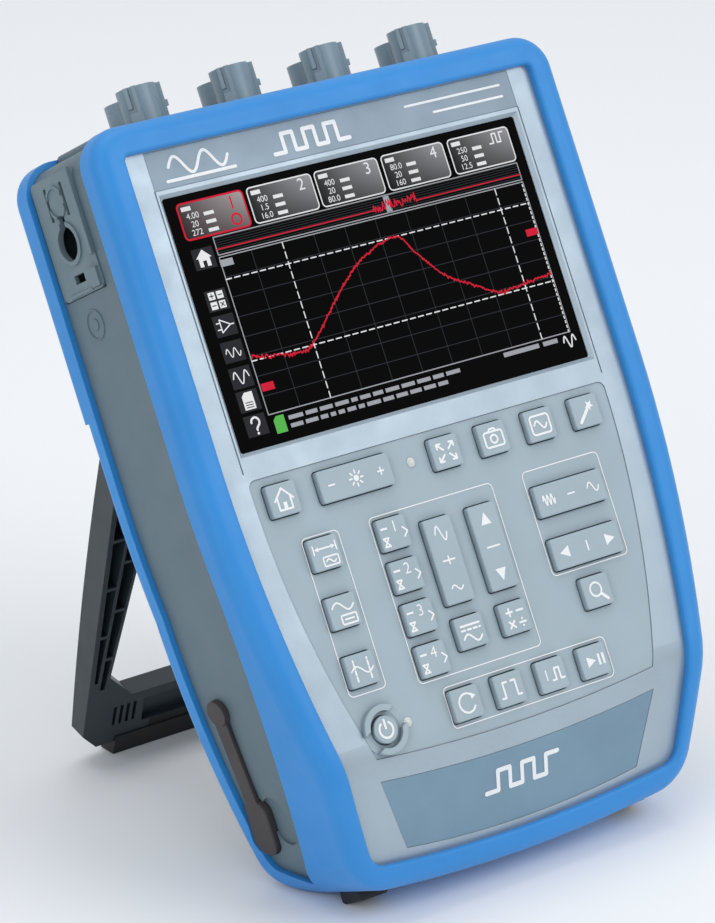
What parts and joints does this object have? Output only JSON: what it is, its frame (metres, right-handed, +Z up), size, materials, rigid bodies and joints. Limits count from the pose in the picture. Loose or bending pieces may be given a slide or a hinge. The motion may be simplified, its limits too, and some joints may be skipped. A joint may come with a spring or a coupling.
{
  "type": "portable oscilloscope",
  "caption": "Hand-held bench oscilloscope in rubber bumpers, leaning back on its fold-out stand, with a touch screen over a keypad.",
  "frame": {"origin": "on the bench, under the centre of the overall box of the instrument standing on its open stand", "axes": "+X to the user's right, +Y away from the user, +Z up; the case leans back 29.7 degrees from upright"},
  "size_m": [0.21, 0.1866, 0.2807],
  "materials": {
    "panel_plastic": "fine metallic paint, satin",
    "shell_plastic": "fine moulded texture",
    "bumper_rubber": "soft satin overmould",
    "screen_glass": "clear, gloss",
    "display_plastic": "gloss",
    "bracket_metal": "pressed sheet",
    "header_plastic": "satin",
    "name_plastic": "satin",
    "keypad_rubber": "matt silicone",
    "key_rubber": "matt silicone",
    "board_laminate": "solder mask",
    "lens_plastic": "clear",
    "strap_plastic": "fine moulded texture",
    "jack_plastic": "moulded",
    "cover_rubber": "matt",
    "shield_metal": "tinned sheet",
    "battery_wrap": "shrink wrap",
    "lid_plastic": "fine moulded texture",
    "screw_steel": "zinc plated",
    "contact_brass": "gold flashed",
    "stand_plastic": "fine moulded texture",
    "foot_rubber": "matt",
    "socket_plastic": "fine moulded texture"
  },
  "bodies": {
    "case": {"antenna_board": "board_laminate", "base_feet": "foot_rubber", "battery_cover": "lid_plastic", "battery_pack": "battery_wrap", "board_screws": "screw_steel", "case_screws": "screw_steel", "cover_screws": "screw_steel", "data_ports": "shield_metal", "dc_jack": "jack_plastic", "display_bracket": "bracket_metal", "front_bumper": "bumper_rubber", "front_case": "panel_plastic", "header_plate": "header_plastic", "input_contacts": "contact_brass", "input_shields": "shield_metal", "input_socket_1": "socket_plastic", "input_socket_2": "socket_plastic", "input_socket_3": "socket_plastic", "input_socket_4": "socket_plastic", "keypad_board": "board_laminate", "keypad_mat": "keypad_rubber", "lcd_panel": "display_plastic", "led_lenses": "lens_plastic", "main_board": "board_laminate", "name_plate": "name_plastic", "rear_bumper": "bumper_rubber", "rear_case": "shell_plastic", "stand_pins": "screw_steel", "strap_plate_left": "strap_plastic", "strap_plate_right": "strap_plastic", "touch_glass": "screen_glass"},
    "stand": {"kickstand": "stand_plastic", "stand_sole": "foot_rubber"},
    "charging_cover": {"dc_plug_cover": "cover_rubber"},
    "data_cover": {"port_cover": "cover_rubber"},
    "key_amplitude": {"key_amplitude": "key_rubber"},
    "key_auto_set": {"key_auto_set": "key_rubber"},
    "key_brightness": {"key_brightness": "key_rubber"},
    "key_channel_1": {"key_channel_1": "key_rubber"},
    "key_channel_2": {"key_channel_2": "key_rubber"},
    "key_channel_3": {"key_channel_3": "key_rubber"},
    "key_channel_4": {"key_channel_4": "key_rubber"},
    "key_coupling": {"key_coupling": "key_rubber"},
    "key_cursors": {"key_cursors": "key_rubber"},
    "key_display": {"key_display": "key_rubber"},
    "key_full_screen": {"key_full_screen": "key_rubber"},
    "key_home": {"key_home": "key_rubber"},
    "key_level": {"key_level": "key_rubber"},
    "key_maths": {"key_maths": "key_rubber"},
    "key_measure": {"key_measure": "key_rubber"},
    "key_power": {"key_power": "key_rubber"},
    "key_reference": {"key_reference": "key_rubber"},
    "key_run": {"key_run": "key_rubber"},
    "key_single": {"key_single": "key_rubber"},
    "key_slope": {"key_slope": "key_rubber"},
    "key_snapshot": {"key_snapshot": "key_rubber"},
    "key_time_shift": {"key_time_shift": "key_rubber"},
    "key_timebase": {"key_timebase": "key_rubber"},
    "key_trigger_auto": {"key_trigger_auto": "key_rubber"},
    "key_zoom": {"key_zoom": "key_rubber"}
  },
  "joints": [
    {"name": "stand_hinge", "type": "hinge", "parent": "case", "child": "stand", "pos_m": [0, 0.04179, 0.18773], "axis": [1, 0, 0], "range_deg": [-40.4, 0]},
    {"name": "charging_cover_lift", "type": "hinge", "parent": "case", "child": "charging_cover", "pos_m": [-0.09631, -0.02809, 0.0755], "axis": [0, 0.8686, -0.4955], "range_deg": [0, 70], "stiffness_Nm_per_rad": 0.02, "springref_deg": -20.05},
    {"name": "data_cover_hinge", "type": "hinge", "parent": "case", "child": "data_cover", "pos_m": [0.1022, 0.03187, 0.20847], "axis": [0, -0.8686, 0.4955], "range_deg": [0, 105]},
    {"name": "key_amplitude_rock", "type": "hinge", "parent": "case", "child": "key_amplitude", "pos_m": [-0.011, -0.05228, 0.11544], "axis": [1, 0, 0], "range_deg": [-2.5, 2.5], "stiffness_Nm_per_rad": 0.3},
    {"name": "key_auto_set_press", "type": "slide", "parent": "case", "child": "key_auto_set", "axis": [0, 0.8686, -0.4955], "range_m": [0, 0.0008], "stiffness_N_per_m": 400, "springref_m": -0.0005},
    {"name": "key_brightness_rock", "type": "hinge", "parent": "case", "child": "key_brightness", "pos_m": [-0.0392, -0.03335, 0.14862], "axis": [0, 0.4955, 0.8686], "range_deg": [-2.5, 2.5], "stiffness_Nm_per_rad": 0.3},
    {"name": "key_channel_1_press", "type": "slide", "parent": "case", "child": "key_channel_1", "axis": [0, 0.8686, -0.4955], "range_m": [0, 0.0008], "stiffness_N_per_m": 400, "springref_m": -0.0005},
    {"name": "key_channel_2_press", "type": "slide", "parent": "case", "child": "key_channel_2", "axis": [0, 0.8686, -0.4955], "range_m": [0, 0.0008], "stiffness_N_per_m": 400, "springref_m": -0.0005},
    {"name": "key_channel_3_press", "type": "slide", "parent": "case", "child": "key_channel_3", "axis": [0, 0.8686, -0.4955], "range_m": [0, 0.0008], "stiffness_N_per_m": 400, "springref_m": -0.0005},
    {"name": "key_channel_4_press", "type": "slide", "parent": "case", "child": "key_channel_4", "axis": [0, 0.8686, -0.4955], "range_m": [0, 0.0008], "stiffness_N_per_m": 400, "springref_m": -0.0005},
    {"name": "key_coupling_press", "type": "slide", "parent": "case", "child": "key_coupling", "axis": [0, 0.8686, -0.4955], "range_m": [0, 0.0008], "stiffness_N_per_m": 400, "springref_m": -0.0005},
    {"name": "key_cursors_press", "type": "slide", "parent": "case", "child": "key_cursors", "axis": [0, 0.8686, -0.4955], "range_m": [0, 0.0008], "stiffness_N_per_m": 400, "springref_m": -0.0005},
    {"name": "key_display_press", "type": "slide", "parent": "case", "child": "key_display", "axis": [0, 0.8686, -0.4955], "range_m": [0, 0.0008], "stiffness_N_per_m": 400, "springref_m": -0.0005},
    {"name": "key_full_screen_press", "type": "slide", "parent": "case", "child": "key_full_screen", "axis": [0, 0.8686, -0.4955], "range_m": [0, 0.0008], "stiffness_N_per_m": 400, "springref_m": -0.0005},
    {"name": "key_home_press", "type": "slide", "parent": "case", "child": "key_home", "axis": [0, 0.8686, -0.4955], "range_m": [0, 0.0008], "stiffness_N_per_m": 400, "springref_m": -0.0005},
    {"name": "key_level_rock", "type": "hinge", "parent": "case", "child": "key_level", "pos_m": [0.0098, -0.05228, 0.11544], "axis": [1, 0, 0], "range_deg": [-2.5, 2.5], "stiffness_Nm_per_rad": 0.3},
    {"name": "key_maths_press", "type": "slide", "parent": "case", "child": "key_maths", "axis": [0, 0.8686, -0.4955], "range_m": [0, 0.0008], "stiffness_N_per_m": 400, "springref_m": -0.0005},
    {"name": "key_measure_press", "type": "slide", "parent": "case", "child": "key_measure", "axis": [0, 0.8686, -0.4955], "range_m": [0, 0.0008], "stiffness_N_per_m": 400, "springref_m": -0.0005},
    {"name": "key_power_press", "type": "slide", "parent": "case", "child": "key_power", "axis": [0, 0.8686, -0.4955], "range_m": [0, 0.0008], "stiffness_N_per_m": 400, "springref_m": -0.0005},
    {"name": "key_reference_press", "type": "slide", "parent": "case", "child": "key_reference", "axis": [0, 0.8686, -0.4955], "range_m": [0, 0.0008], "stiffness_N_per_m": 400, "springref_m": -0.0005},
    {"name": "key_run_press", "type": "slide", "parent": "case", "child": "key_run", "axis": [0, 0.8686, -0.4955], "range_m": [0, 0.0008], "stiffness_N_per_m": 400, "springref_m": -0.0005},
    {"name": "key_single_press", "type": "slide", "parent": "case", "child": "key_single", "axis": [0, 0.8686, -0.4955], "range_m": [0, 0.0008], "stiffness_N_per_m": 400, "springref_m": -0.0005},
    {"name": "key_slope_press", "type": "slide", "parent": "case", "child": "key_slope", "axis": [0, 0.8686, -0.4955], "range_m": [0, 0.0008], "stiffness_N_per_m": 400, "springref_m": -0.0005},
    {"name": "key_snapshot_press", "type": "slide", "parent": "case", "child": "key_snapshot", "axis": [0, 0.8686, -0.4955], "range_m": [0, 0.0008], "stiffness_N_per_m": 400, "springref_m": -0.0005},
    {"name": "key_time_shift_rock", "type": "hinge", "parent": "case", "child": "key_time_shift", "pos_m": [0.0509, -0.05724, 0.10675], "axis": [0, 0.4955, 0.8686], "range_deg": [-2.5, 2.5], "stiffness_Nm_per_rad": 0.3},
    {"name": "key_timebase_rock", "type": "hinge", "parent": "case", "child": "key_timebase", "pos_m": [0.0509, -0.04713, 0.12447], "axis": [0, 0.4955, 0.8686], "range_deg": [-2.5, 2.5], "stiffness_Nm_per_rad": 0.3},
    {"name": "key_trigger_auto_press", "type": "slide", "parent": "case", "child": "key_trigger_auto", "axis": [0, 0.8686, -0.4955], "range_m": [0, 0.0008], "stiffness_N_per_m": 400, "springref_m": -0.0005},
    {"name": "key_zoom_press", "type": "slide", "parent": "case", "child": "key_zoom", "axis": [0, 0.8686, -0.4955], "range_m": [0, 0.0008], "stiffness_N_per_m": 400, "springref_m": -0.0005}
  ]
}
